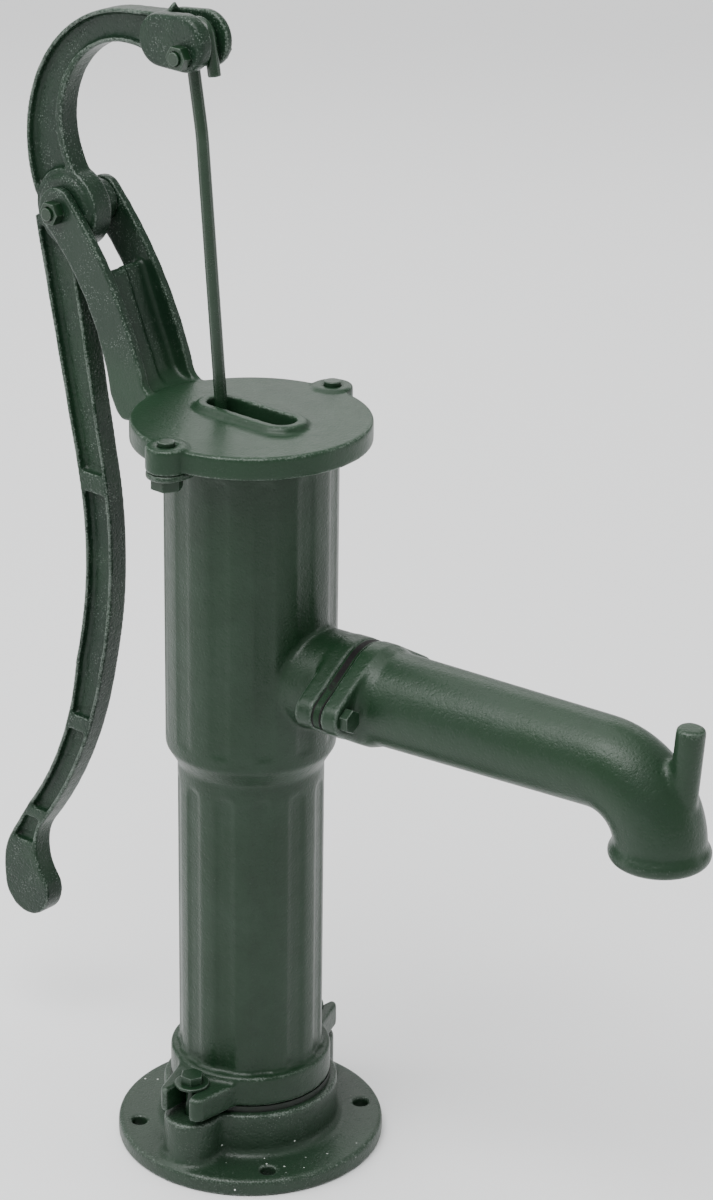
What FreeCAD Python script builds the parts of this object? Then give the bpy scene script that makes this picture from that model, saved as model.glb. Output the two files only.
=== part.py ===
"""Cast iron pitcher pump: hand lever, slotted top cover, fluted barrel, spout and base."""
import FreeCAD, Part
import math
import os

from FreeCAD import Placement, Rotation, Vector

os.makedirs("parts", exist_ok=True)
doc = FreeCAD.newDocument("pitcher_pump")

# Driving dimensions in millimetres and degrees. Z is up, X runs out along the spout, and the
# origin is the centre of the base's underside.
driving = {
    # base casting
    "base_flange_radius": 84.2,
    "base_flange_thickness": 11.0,
    "base_drum_radius": 55.0,
    "base_height": 40.0,
    "base_hole_inset": 12.9,
    "base_hole_diameter": 10.0,
    "suction_bore_radius": 19.5,
    "suction_bore_depth": 20.0,
    "suction_chamber_radius": 42.0,
    "seat_thickness": 7.0,
    "seat_port_radius": 16.0,
    "pillar_radius": 17.5,
    "base_bolt_offset": 61.5,
    "base_bolt_engagement": 23.0,
    # foot valve
    "leather_thickness": 4.0,
    "flap_radius": 26.0,
    "flap_hinge_offset": 32.0,
    "flap_neck_width": 18.0,
    "flap_gap": 0.4,
    "weight_radius": 16.5,
    "weight_thickness": 9.0,
    "foot_washer_radius": 12.0,
    "foot_washer_thickness": 2.5,
    "foot_screw_length": 26.0,
    # pump cylinder
    "bore_radius": 37.5,
    "lower_radius": 45.0,
    "ring_radius": 50.5,
    "ring_height": 20.0,
    "lug_height": 16.0,
    "lug_reach": 77.0,
    "lug_half_width": 17.5,
    "lug_narrow_half_width": 15.0,
    "lug_slot_half_width": 6.5,
    "lug_mouth_half_width": 8.5,
    "step_bottom": 262.0,
    "step_rise": 12.0,
    "upper_radius": 52.2,
    "upper_bore_radius": 46.0,
    "body_top": 468.5,
    "body_ear_thickness": 4.5,
    "flute_width": 12.0,
    "flute_depth": 1.2,
    "upper_flute_depth": 0.9,
    "flute_count": 12,
    "flute_first_angle": 15.0,
    # spout connection
    "spout_height": 328.0,
    "neck_radius": 31.0,
    "port_face": 80.6,
    "port_bore_radius": 21.0,
    "port_flange_thickness": 12.0,
    "flange_core_radius": 31.5,
    "flange_lobe_offset": 41.0,
    "flange_lobe_radius": 10.5,
    "spout_gasket_thickness": 6.2,
    "spout_flange_thickness": 11.2,
    # spout
    "collar_radius": 30.3,
    "collar_length": 3.0,
    "collar_taper": 3.5,
    "pipe_start_radius": 28.7,
    "pipe_end_radius": 27.0,
    "elbow_start": 246.0,
    "elbow_radius": 41.0,
    "outlet_drop": 9.8,
    "outlet_rim_radius": 29.9,
    "outlet_rim_middle": 6.2,
    "outlet_flare_height": 15.5,
    "peg_offset": 303.1,
    "peg_root_drop": 22.0,
    "peg_rise": 36.0,
    "peg_radius": 8.6,
    "peg_lean": 3.9,
    # top cover
    "cover_turn": -6.2,
    "cover_radius": 72.0,
    "cover_thickness": 13.8,
    "cover_recess": 6.0,
    "cover_ear_offset": 72.0,
    "cover_ear_radius": 12.5,
    "cover_ear_rise": 1.6,
    "slot_half_length": 23.5,
    "slot_radius": 9.0,
    "slot_rim_width": 7.0,
    "slot_rim_height": 4.0,
    # fulcrum bracket and handle
    "pivot_reach": 144.7,
    "pivot_height": 580.5,
    "front_ear_inner": 9.7,
    "back_ear_inner": 24.0,
    "ear_thickness": 6.0,
    "ear_end_radius": 14.7,
    "bracket_lip": 7.0,
    "web_ridge_offset": 7.0,
    "web_setback": 3.5,
    "handle_thickness": 14.5,
    "handle_flange": 2.8,
    "handle_recess": 5.3,
    "hub_radius": 25.0,
    "hub_front_boss": 2.2,
    "hub_boss_radius": 20.5,
    "hub_sleeve_radius": 13.5,
    "fork_reach": 105.6,
    "fork_rise": 112.4,
    "fork_front": 15.5,
    "fork_back": 12.5,
    "fork_gap": 12.0,
    "fork_edge_round": 3.4,
    "nib_radius": 7.2,
    "nib_height": 9.7,
    # piston rod and plunger
    "rod_radius": 3.85,
    "rod_foot_offset": 2.9,
    "rod_foot_height": 246.0,
    "rod_knee_offset": 38.9,
    "rod_knee_height": 645.0,
    "rod_knee_radius": 150.0,
    "hook_radius": 7.95,
    "hook_slack": 9.0,
    "hook_tail": 14.0,
    "yoke_top": 270.0,
    "yoke_bridge": 8.0,
    "yoke_leg_height": 38.0,
    "yoke_play_above": 1.8,
    "yoke_play_below": 6.2,
    "yoke_slot_half_length": 10.6,
    "plunger_radius": 35.0,
    "plunger_ring_thickness": 8.0,
    "cup_thickness": 3.5,
    "cup_lip_height": 14.0,
    "cup_clearance": 0.3,
    "follower_thickness": 11.0,
    "follower_spigot_radius": 18.0,
    "plunger_port_radius": 11.5,
    "valve_radius": 15.0,
    "valve_thickness": 5.0,
    # threads, heads and fits
    "large_bolt_radius": 5.0,
    "large_head_radius": 9.8,
    "large_head_height": 6.6,
    "small_bolt_radius": 4.0,
    "small_head_radius": 7.5,
    "small_head_height": 5.5,
    "small_nut_height": 6.7,
    "screw_radius": 3.0,
    "screw_head_radius": 5.7,
    "screw_head_height": 4.0,
    "screw_nut_height": 5.0,
    "rod_nut_height": 6.0,
    "cover_bolt_showing": 2.4,
    "cross_bolt_showing": 1.8,
    "washer_thickness": 2.0,
    "washer_radius": 10.75,
    "thread_clearance": 0.15,
    "bolt_clearance": 0.5,
    "pivot_clearance": 0.08,
}

sheet = doc.addObject("Spreadsheet::Sheet", "dims")
for row, (alias, value) in enumerate(driving.items(), start=1):
    sheet.set(f"A{row}", alias)
    sheet.set(f"B{row}", str(value))
    sheet.setAlias(f"B{row}", alias)
doc.recompute()


def size(alias):
    """A driving dimension as a number, read back from the sheet."""
    return float(getattr(sheet, alias))


# Heights and places that follow from the driving dimensions.
cylinder_bottom = size("base_height") + size("leather_thickness")
ring_top = cylinder_bottom + size("ring_height")
lug_top = cylinder_bottom + size("lug_height")
step_top = size("step_bottom") + size("step_rise")
cover_top = size("body_top") + size("cover_thickness")
spout_flange_start = size("port_face") + size("spout_gasket_thickness")
spout_flange_end = spout_flange_start + size("spout_flange_thickness")
outlet_centre = size("elbow_start") + size("elbow_radius")
peg_top = size("spout_height") + size("peg_rise")
outlet_bottom = size("spout_height") - size("elbow_radius") - size("outlet_drop")
front_ear_outer = size("front_ear_inner") + size("ear_thickness")
back_ear_outer = size("back_ear_inner") + size("ear_thickness")
half_handle = size("handle_thickness") / 2
pivot = Vector(-size("pivot_reach"), 0, size("pivot_height"))
fork_bolt_centre = pivot + Vector(size("fork_reach"), 0, size("fork_rise"))
plunger_ring_top = size("yoke_top") - size("yoke_bridge") - size("yoke_leg_height")
plunger_ring_bottom = plunger_ring_top - size("plunger_ring_thickness")
cup_bottom = plunger_ring_bottom - size("cup_thickness")
turned = Placement(Vector(), Rotation(Vector(0, 0, 1), size("cover_turn")))

nodes = []


def keep(obj, label, placement=None):
    """Name a finished sub-part after its node and put it in the list that is written."""
    obj.Label = label
    if placement is not None:
        obj.Placement = placement
    nodes.append(obj)
    return obj


def bind(obj, **expressions):
    for prop, expression in expressions.items():
        obj.setExpression(prop, expression)


# Outlines: each is a list of edges in the plane X-Z or X-Y of the sub-part.
def at(x, z):
    return Vector(x, 0, z)


def outline(start, *steps):
    """Closed wire in X-Z from straight steps (x, z) and arcs (x via, z via, x end, z end)."""
    edges = []
    here = at(*start)
    for step in steps + (start,):
        there = at(*step[-2:])
        if (there - here).Length < 1e-6:
            continue
        if len(step) == 4:
            edges.append(Part.Arc(here, at(*step[:2]), there).toShape())
        else:
            edges.append(Part.LineSegment(here, there).toShape())
        here = there
    return Part.Wire(edges)


def slab(wire, y_from, y_to):
    """Solid between two planes of Y with the wire's outline."""
    face = Part.Face(wire)
    face.translate(Vector(0, y_from, 0))
    return face.extrude(Vector(0, y_to - y_from, 0))


def y_cylinder(centre, radius, y_from, y_to):
    return Part.makeCylinder(radius, y_to - y_from, Vector(centre.x, y_from, centre.z), Vector(0, 1, 0))


def edges_on_plane(shape, y_value):
    """Edges that lie in one plane of Y."""
    found = []
    for edge in shape.Edges:
        box = edge.BoundBox
        if abs(box.YMin - y_value) < 1e-4 and abs(box.YMax - y_value) < 1e-4:
            found.append(edge)
    return found


# PartDesign helpers.
def new_body(name):
    return doc.addObject("PartDesign::Body", name)


def origin_item(body, role):
    return next(item for item in body.Origin.OriginFeatures if item.Role == role)


def new_sketch(body, name, role, geometry, offset=None):
    """Sketch on one of the body's own origin planes."""
    sketch = body.newObject("Sketcher::SketchObject", name)
    sketch.AttachmentSupport = [(origin_item(body, role), "")]
    sketch.MapMode = "FlatFace"
    if offset is not None:
        sketch.AttachmentOffset = offset
    for item in geometry:
        sketch.addGeometry(item, False)
    return sketch


def polygon(points):
    """Closed run of straight sketch lines."""
    corners = [Vector(x, y, 0) for x, y in points]
    return [Part.LineSegment(a, b) for a, b in zip(corners, corners[1:] + corners[:1])]


def circle(x, y, radius):
    return Part.Circle(Vector(x, y, 0), Vector(0, 0, 1), radius)


def arc(start, via, end):
    return Part.Arc(Vector(*start, 0), Vector(*via, 0), Vector(*end, 0))


def line(start, end):
    return Part.LineSegment(Vector(*start, 0), Vector(*end, 0))


def oval(lobe_offset, lobe_radius, core_radius):
    """Two-bolt flange outline: a round core with a bolt lobe on each side."""
    lean = math.acos((core_radius - lobe_radius) / lobe_offset)
    c, s = math.cos(lean), math.sin(lean)
    core = [(sx * core_radius * c, sy * core_radius * s) for sx, sy in ((1, 1), (-1, 1), (-1, -1), (1, -1))]
    lobe = [(sx * (lobe_offset + lobe_radius * c), sy * lobe_radius * s)
            for sx, sy in ((1, 1), (-1, 1), (-1, -1), (1, -1))]
    tip = lobe_offset + lobe_radius
    return [
        arc(core[0], (0, core_radius), core[1]),
        line(core[1], lobe[1]),
        arc(lobe[1], (-tip, 0), lobe[2]),
        line(lobe[2], core[2]),
        arc(core[2], (0, -core_radius), core[3]),
        line(core[3], lobe[3]),
        arc(lobe[3], (tip, 0), lobe[0]),
        line(lobe[0], core[0]),
    ]


def stadium(half_length, radius):
    """Round-ended slot along the first sketch axis."""
    return [
        line((-half_length, radius), (half_length, radius)),
        arc((half_length, radius), (half_length + radius, 0), (half_length, -radius)),
        line((half_length, -radius), (-half_length, -radius)),
        arc((-half_length, -radius), (-half_length - radius, 0), (-half_length, radius)),
    ]


def revolve(body, name, sketch, axis, angle=360.0, groove=False):
    kind = "PartDesign::Groove" if groove else "PartDesign::Revolution"
    feature = body.newObject(kind, name)
    feature.Profile = sketch
    feature.ReferenceAxis = axis
    feature.Angle = angle
    return feature


def pad(body, name, sketch, length, backwards=False):
    """Pad whose length is an expression on the sheet."""
    feature = body.newObject("PartDesign::Pad", name)
    feature.Profile = sketch
    feature.Reversed = backwards
    feature.setExpression("Length", length)
    return feature


def pocket(body, name, sketch, length, backwards=False):
    feature = body.newObject("PartDesign::Pocket", name)
    feature.Profile = sketch
    feature.Reversed = backwards
    feature.setExpression("Length", length)
    return feature


def around_z(body, name, originals, count):
    """Polar pattern round the body's Z axis; count is a number or an expression."""
    pattern = body.newObject("PartDesign::PolarPattern", name)
    pattern.Originals = originals
    pattern.Axis = (origin_item(body, "Z_Axis"), [""])
    pattern.Angle = 360
    if isinstance(count, str):
        pattern.setExpression("Occurrences", count)
    else:
        pattern.Occurrences = count
    body.Tip = pattern
    return pattern


def round_edges(body, name, base, radius, chosen):
    """Fillet on the base feature's edges for which chosen(edge) holds."""
    doc.recompute()
    names = [f"Edge{i}" for i, edge in enumerate(base.Shape.Edges, start=1) if chosen(edge)]
    feature = body.newObject("PartDesign::Fillet", name)
    feature.Base = (base, names)
    feature.Radius = radius
    body.Tip = feature
    return feature


def level_ring(radius, height):
    """Picks round edges about the Z axis at one height."""
    def chosen(edge):
        curve = edge.Curve
        if not isinstance(curve, Part.Circle):
            return False
        on_axis = math.hypot(curve.Center.x, curve.Center.y) < 0.01
        return on_axis and abs(curve.Radius - radius) < 0.01 and abs(curve.Center.z - height) < 0.01
    return chosen


def lifted(height):
    return Placement(Vector(0, 0, height), Rotation())


def check_volume(feature, before, sign):
    """A pocket must take material away and a pad must add some."""
    doc.recompute()
    change = feature.Shape.Volume - before
    if change * sign <= 0:
        raise ValueError(f"{feature.Label} changed the volume by {change:.1f} mm3")


# Fasteners: hexagon heads and round shanks along Z, head above the origin and shank below it.
def hex_bolt(name, radius, head_radius, head_height, length):
    head = doc.addObject("Part::Prism", name + "_head")
    head.Polygon = 6
    bind(head, Circumradius=f"dims.{head_radius}", Height=f"dims.{head_height}")
    shank = doc.addObject("Part::Cylinder", name + "_shank")
    shank.setExpression("Radius", f"dims.{radius}")
    shank.Height = length
    shank.Placement = lifted(-length)
    bolt = doc.addObject("Part::Fuse", name)
    bolt.Base = head
    bolt.Tool = shank
    bolt.Refine = True
    return bolt


def hex_nut(name, hole, head_radius, height):
    block = doc.addObject("Part::Prism", name + "_block")
    block.Polygon = 6
    bind(block, Circumradius=f"dims.{head_radius}", Height=height)
    bore = doc.addObject("Part::Cylinder", name + "_thread")
    bind(bore, Radius=f"dims.{hole} + dims.thread_clearance", Height=height)
    nut = doc.addObject("Part::Cut", name)
    nut.Base = block
    nut.Tool = bore
    return nut


def washer(name, outer, hole, height):
    plate = doc.addObject("Part::Cylinder", name + "_plate")
    bind(plate, Radius=outer, Height=height)
    bore = doc.addObject("Part::Cylinder", name + "_hole")
    bind(bore, Radius=hole, Height=height)
    ring = doc.addObject("Part::Cut", name)
    ring.Base = plate
    ring.Tool = bore
    return ring


def group(label, members, placement=None):
    compound = doc.addObject("Part::Compound", label)
    compound.Links = members
    return keep(compound, label, placement)


# Base: a drilled floor flange, a drum with the suction chamber, and two bolt pillars.
def make_base():
    body = new_body("pump_base")
    seat_bottom = size("base_height") - size("seat_thickness")
    profile = polygon([
        (size("suction_bore_radius"), 0),
        (size("base_flange_radius"), 0),
        (size("base_flange_radius"), size("base_flange_thickness")),
        (size("base_drum_radius"), size("base_flange_thickness")),
        (size("base_drum_radius"), size("base_height")),
        (size("seat_port_radius"), size("base_height")),
        (size("seat_port_radius"), seat_bottom),
        (size("suction_chamber_radius"), seat_bottom),
        (size("suction_chamber_radius"), size("suction_bore_depth")),
        (size("suction_bore_radius"), size("suction_bore_depth")),
    ])
    sketch = new_sketch(body, "base_profile", "XZ_Plane", profile)
    revolve(body, "base_turned", sketch, (sketch, ["V_Axis"]))
    radius = size("pillar_radius")
    centre = size("base_bolt_offset")
    root = size("base_drum_radius") - 8
    pillar_outline = [
        line((-radius, -root), (-radius, -centre)),
        arc((-radius, -centre), (0, -centre - radius), (radius, -centre)),
        line((radius, -centre), (radius, -root)),
        line((radius, -root), (-radius, -root)),
    ]
    sketch = new_sketch(body, "pillar_outline", "XY_Plane", pillar_outline)
    pillar = pad(body, "pillar", sketch, "dims.base_height")
    pillars = around_z(body, "pillars", [pillar], 2)
    spot = (size("base_flange_radius") - size("base_hole_inset")) * math.sqrt(0.5)
    sketch = new_sketch(body, "floor_hole_place", "XY_Plane",
                        [circle(spot, spot, size("base_hole_diameter") / 2)])
    hole = pocket(body, "floor_hole", sketch, "dims.base_flange_thickness + 1", backwards=True)
    holes = around_z(body, "floor_holes", [hole], 4)
    tapped = size("small_bolt_radius") + size("thread_clearance")
    sketch = new_sketch(body, "tapped_place", "XY_Plane", [circle(0, -centre, tapped)],
                        lifted(size("base_height")))
    tap = pocket(body, "tapped_hole", sketch, "dims.base_height - dims.base_flange_thickness")
    taps = around_z(body, "tapped_holes", [tap], 2)
    outer_top = level_ring(size("base_flange_radius"), size("base_flange_thickness"))
    rounded = round_edges(body, "flange_edge", taps, 2.5, outer_top)
    deck = size("base_flange_thickness")

    def casting_corner(edge):
        box = edge.BoundBox
        middle = edge.CenterOfMass
        far = math.hypot(middle.x, middle.y)
        on_deck = abs(box.ZMin - deck) < 1e-3 and abs(box.ZMax - deck) < 1e-3
        if on_deck:
            return edge.Length > 40 and far < size("base_flange_radius") - 4
        upright = box.ZMax - box.ZMin > 20 and abs(abs(middle.x) - radius) < 0.5
        return upright and abs(middle.y) < centre - 2
    rounded = round_edges(body, "casting_corners", rounded, 5.0, casting_corner)

    def pillar_top(edge):
        box = edge.BoundBox
        on_top = abs(box.ZMin - size("base_height")) < 1e-4 and abs(box.ZMax - size("base_height")) < 1e-4
        outside_drum = box.YMax < -root or box.YMin > root
        return on_top and outside_drum and edge.Length > 2 * math.pi * tapped + 1
    round_edges(body, "pillar_edge", rounded, 1.5, pillar_top)
    keep(body, "pump_base")


# Foot valve: one leather disc, cut so that its middle is a flap, with an iron weight on top.
def make_foot_valve():
    z = size("base_height")
    thickness = size("leather_thickness")
    hinge = -size("flap_hinge_offset")
    half_neck = size("flap_neck_width") / 2
    gap = size("flap_gap")
    opening_radius = size("bore_radius") - 2.5
    ring = Part.makeCylinder(size("ring_radius"), thickness, Vector(0, 0, z))
    opening = Part.makeCylinder(opening_radius, thickness, Vector(0, 0, z))
    shelf = Part.makeBox(opening_radius + hinge, 2 * half_neck, thickness, Vector(-opening_radius, -half_neck, z))
    leather = doc.addObject("Part::Feature", "foot_valve_leather")
    leather.Shape = ring.cut(opening).fuse(shelf.common(opening)).removeSplitter()
    keep(leather, "foot_valve_leather")

    disc = Part.makeCylinder(size("flap_radius"), thickness, Vector(0, 0, z))
    neck_start = hinge + gap
    neck = Part.makeBox(-neck_start, 2 * half_neck, thickness, Vector(neck_start, -half_neck, z))
    screw_hole = Part.makeCylinder(size("screw_radius") + size("thread_clearance"), thickness, Vector(0, 0, z))
    flap = doc.addObject("Part::Feature", "foot_valve_flap")
    flap.Shape = disc.fuse(neck).cut(screw_hole).removeSplitter()
    keep(flap, "foot_valve_flap")

    weight = washer("foot_valve_weight", "dims.weight_radius",
                    "dims.screw_radius + dims.thread_clearance", "dims.weight_thickness")
    keep(weight, "foot_valve_weight", lifted(z + thickness))
    plate = washer("foot_valve_washer", "dims.foot_washer_radius",
                   "dims.screw_radius + dims.thread_clearance", "dims.foot_washer_thickness")
    keep(plate, "foot_valve_washer", lifted(z - size("foot_washer_thickness")))
    screw = hex_bolt("foot_valve_screw", "screw_radius", "screw_head_radius", "screw_head_height",
                     size("foot_screw_length"))
    keep(screw, "foot_valve_screw", lifted(z + thickness + size("weight_thickness")))
    nut = hex_nut("foot_valve_nut", "screw_radius", "screw_head_radius", "dims.screw_nut_height")
    keep(nut, "foot_valve_nut", lifted(z - size("foot_washer_thickness") - size("screw_nut_height")))


# Pump cylinder: one casting with the bored lower barrel, the wide upper barrel, the spout port,
# the slotted lugs of the base bolts and the ears of the cover bolts.
def make_cylinder():
    body = new_body("pump_cylinder")
    bore = size("bore_radius")
    profile = polygon([
        (bore, cylinder_bottom),
        (size("ring_radius"), cylinder_bottom),
        (size("ring_radius"), ring_top),
        (size("lower_radius"), ring_top),
        (size("lower_radius"), size("step_bottom")),
        (size("upper_radius"), step_top),
        (size("upper_radius"), size("body_top")),
        (size("upper_bore_radius"), size("body_top")),
        (size("upper_bore_radius"), step_top + 10),
        (bore, step_top - 2),
    ])
    sketch = new_sketch(body, "cylinder_profile", "XZ_Plane", profile)
    revolve(body, "cylinder_turned", sketch, (sketch, ["V_Axis"]))
    for name, radius, depth, foot, head in (
            ("lower_flute", size("lower_radius"), "flute_depth", ring_top, size("step_bottom") - 9),
            ("upper_flute", size("upper_radius"), "upper_flute_depth", step_top + 8, size("body_top") - 8)):
        first = math.radians(size("flute_first_angle"))
        floor = radius - size(depth)
        half = size("flute_width") / 2
        outline_edges = [
            line((-half, foot), (half, foot)),
            line((half, foot), (half, head - half)),
            arc((half, head - half), (0, head), (-half, head - half)),
            line((-half, head - half), (-half, foot)),
        ]
        place = Placement(Vector(floor * math.sin(first), 0, floor * math.cos(first)),
                          Rotation(Vector(0, 1, 0), size("flute_first_angle")))
        sketch = new_sketch(body, name + "_outline", "YZ_Plane", outline_edges, place)
        flute = pocket(body, name, sketch, f"dims.{depth} + 3", backwards=True)
        around_z(body, name + "s", [flute], "dims.flute_count")

    reach = size("lug_reach")
    half_slot = size("lug_slot_half_width")
    bolt = size("base_bolt_offset")
    mouth = size("lug_mouth_half_width")
    tip = size("lug_half_width")
    wide = tip + 6
    thin = size("lug_narrow_half_width")
    root = size("ring_radius") - 9
    lug_outline = [
        line((-wide, -root), (-thin, -reach + 5)),
        arc((-thin, -reach + 5), (-thin + 1.5, -reach + 1.5), (-thin + 5, -reach)),
        line((-thin + 5, -reach), (-mouth, -reach)),
        line((-mouth, -reach), (-half_slot, -bolt)),
        arc((-half_slot, -bolt), (0, -bolt + half_slot), (half_slot, -bolt)),
        line((half_slot, -bolt), (mouth, -reach)),
        line((mouth, -reach), (tip - 6, -reach)),
        arc((tip - 6, -reach), (tip - 1.8, -reach + 1.8), (tip, -reach + 6)),
        line((tip, -reach + 6), (wide, -root)),
        line((wide, -root), (-wide, -root)),
    ]
    sketch = new_sketch(body, "lug_outline", "XY_Plane", lug_outline, lifted(cylinder_bottom))
    lug = pad(body, "lug", sketch, "dims.lug_height")
    around_z(body, "lugs", [lug], 2)

    # Thin ears at the top edge, turned with the cover that they carry.
    turn = math.radians(size("cover_turn"))
    ear_radius = size("cover_ear_radius")
    ear_centre = size("cover_ear_offset")
    inner = size("upper_radius") - 4
    ear_points = [(-ear_radius, -inner), (-ear_radius, -ear_centre), (0, -ear_centre - ear_radius),
                  (ear_radius, -ear_centre), (ear_radius, -inner)]
    p = [(x * math.cos(turn) - y * math.sin(turn), x * math.sin(turn) + y * math.cos(turn))
         for x, y in ear_points]
    ear_outline = [line(p[0], p[1]), arc(p[1], p[2], p[3]), line(p[3], p[4]), line(p[4], p[0])]
    sketch = new_sketch(body, "ear_outline", "XY_Plane", ear_outline, lifted(size("body_top")))
    ear = pad(body, "ear", sketch, "dims.body_ear_thickness", backwards=True)
    around_z(body, "ears", [ear], 2)
    hole_centre = (ear_centre * math.sin(turn), -ear_centre * math.cos(turn))
    sketch = new_sketch(body, "ear_hole_place", "XY_Plane",
                        [circle(*hole_centre, size("large_bolt_radius") + size("bolt_clearance"))],
                        lifted(size("body_top")))
    ear_hole = pocket(body, "ear_hole", sketch, "dims.body_ear_thickness + 1")
    around_z(body, "ear_holes", [ear_hole], 2)

    # Spout port: a round neck that ends in a two-bolt flange.
    def beside(x):
        return Placement(Vector(0, size("spout_height"), x), Rotation())
    start = size("upper_radius") - 14
    sketch = new_sketch(body, "neck_outline", "YZ_Plane", [circle(0, 0, size("neck_radius"))], beside(start))
    pad(body, "neck", sketch, "dims.port_face - dims.upper_radius + 14")
    flange = oval(size("flange_lobe_offset"), size("flange_lobe_radius"), size("flange_core_radius"))
    sketch = new_sketch(body, "port_flange_outline", "YZ_Plane", flange, beside(size("port_face")))
    port = pad(body, "port_flange", sketch, "dims.port_flange_thickness", backwards=True)
    doc.recompute()
    solid_port = port.Shape.Volume
    sketch = new_sketch(body, "port_bore_outline", "YZ_Plane", [circle(0, 0, size("port_bore_radius"))],
                        beside(size("port_face")))
    port_bore = pocket(body, "port_bore", sketch, "dims.port_face - 20")
    check_volume(port_bore, solid_port, -1)
    sketch = new_sketch(body, "inner_clearing", "XY_Plane", [circle(0, 0, size("upper_bore_radius"))],
                        lifted(size("body_top")))
    clearing = pocket(body, "barrel_bore", sketch, f"dims.body_top - {step_top + 10}")
    tapped = size("small_bolt_radius") + size("thread_clearance")
    lobe = size("flange_lobe_offset")
    sketch = new_sketch(body, "port_tap_place", "YZ_Plane",
                        [circle(-lobe, 0, tapped), circle(lobe, 0, tapped)], beside(size("port_face")))
    taps = pocket(body, "port_taps", sketch, "dims.port_flange_thickness + 1")
    doc.recompute()
    check_volume(taps, clearing.Shape.Volume, -1)
    rounded = round_edges(body, "ring_edge", taps, 1.5, level_ring(size("ring_radius"), ring_top))
    body.Tip = rounded
    keep(body, "pump_cylinder")


# Spout: flange, collar, tapered pipe, elbow, beaded outlet and the peg that holds a bucket bail.
def make_spout():
    body = new_body("spout")
    z = size("spout_height")
    along = Placement(Vector(0, z, 0), Rotation())
    collar_end = spout_flange_end + size("collar_length")
    pipe_start = collar_end + size("collar_taper")
    profile = polygon([
        (spout_flange_start, 0),
        (spout_flange_start, size("collar_radius")),
        (collar_end, size("collar_radius")),
        (pipe_start, size("pipe_start_radius")),
        (size("elbow_start"), size("pipe_end_radius")),
        (size("elbow_start"), 0),
    ])
    sketch = new_sketch(body, "pipe_profile", "XZ_Plane", profile, along)
    revolve(body, "pipe", sketch, (sketch, ["H_Axis"]))
    flange = oval(size("flange_lobe_offset"), size("flange_lobe_radius"), size("flange_core_radius"))
    sketch = new_sketch(body, "flange_outline", "YZ_Plane", flange,
                        Placement(Vector(0, z, spout_flange_start), Rotation()))
    pad(body, "flange", sketch, "dims.spout_flange_thickness")

    # The elbow turns about a line across the part, below the end of the straight pipe.
    bend = size("elbow_radius")
    at_bend = Placement(Vector(0, z - bend, size("elbow_start")), Rotation())
    sketch = new_sketch(body, "elbow_section", "YZ_Plane", [circle(0, bend, size("pipe_end_radius"))], at_bend)
    elbow = revolve(body, "elbow", sketch, (sketch, ["H_Axis"]), 90.0)
    elbow.Reversed = False
    over_outlet = Placement(Vector(outlet_centre, 0, 0), Rotation())
    top = z - bend
    rim = size("outlet_rim_radius")
    neck = size("pipe_end_radius")
    bulge = outlet_bottom + size("outlet_rim_middle")
    flare_top = outlet_bottom + size("outlet_flare_height")
    outlet = [
        line((0, outlet_bottom), (rim - 5, outlet_bottom)),
        arc((rim - 5, outlet_bottom), (rim, bulge), (rim - 2, bulge + 4)),
        arc((rim - 2, bulge + 4), (neck - 0.4, bulge + 6.4), (neck - 3, flare_top)),
        line((neck - 3, flare_top), (0, flare_top)),
        line((0, flare_top), (0, outlet_bottom)),
    ]
    sketch = new_sketch(body, "outlet_profile", "XZ_Plane", outlet, over_outlet)
    revolve(body, "outlet", sketch, (sketch, ["V_Axis"]))

    # The peg is drawn at its upper end and runs down into the elbow's back, leaning outwards.
    upright = Placement(Vector(size("peg_offset"), 0, peg_top), Rotation(Vector(0, 1, 0), size("peg_lean")))
    sketch = new_sketch(body, "peg_outline", "XY_Plane", [circle(0, 0, size("peg_radius"))], upright)
    peg = pad(body, "peg", sketch, "dims.peg_rise + dims.peg_root_drop", backwards=True)

    def peg_rim(edge):
        return edge.BoundBox.ZMin > peg_top - 2
    rounded = round_edges(body, "peg_edge", peg, 2.0, peg_rim)
    doc.recompute()

    # Water way: straight bore, elbow bore and outlet bore of one radius.
    solid = rounded.Shape.Volume
    bore = size("port_bore_radius")
    sketch = new_sketch(body, "bore_outline", "YZ_Plane", [circle(0, 0, bore)],
                        Placement(Vector(0, z, spout_flange_start), Rotation()))
    straight = pocket(body, "straight_bore", sketch, f"dims.elbow_start - {spout_flange_start}", backwards=True)
    check_volume(straight, solid, -1)
    sketch = new_sketch(body, "elbow_bore_section", "YZ_Plane", [circle(0, bend, bore)], at_bend)
    elbow_bore = revolve(body, "elbow_bore", sketch, (sketch, ["H_Axis"]), 90.0, groove=True)
    check_volume(elbow_bore, straight.Shape.Volume, -1)
    sketch = new_sketch(body, "outlet_bore_outline", "XY_Plane", [circle(outlet_centre, 0, bore)], lifted(top))
    outlet_bore = pocket(body, "outlet_bore", sketch, "dims.outlet_drop + 1")
    check_volume(outlet_bore, elbow_bore.Shape.Volume, -1)
    clear = size("small_bolt_radius") + size("bolt_clearance")
    lobe = size("flange_lobe_offset")
    sketch = new_sketch(body, "flange_hole_place", "YZ_Plane", [circle(-lobe, 0, clear), circle(lobe, 0, clear)],
                        Placement(Vector(0, z, spout_flange_start), Rotation()))
    holes = pocket(body, "flange_holes", sketch, "dims.spout_flange_thickness + 1", backwards=True)
    check_volume(holes, outlet_bore.Shape.Volume, -1)
    body.Tip = holes
    keep(body, "spout")


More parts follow.
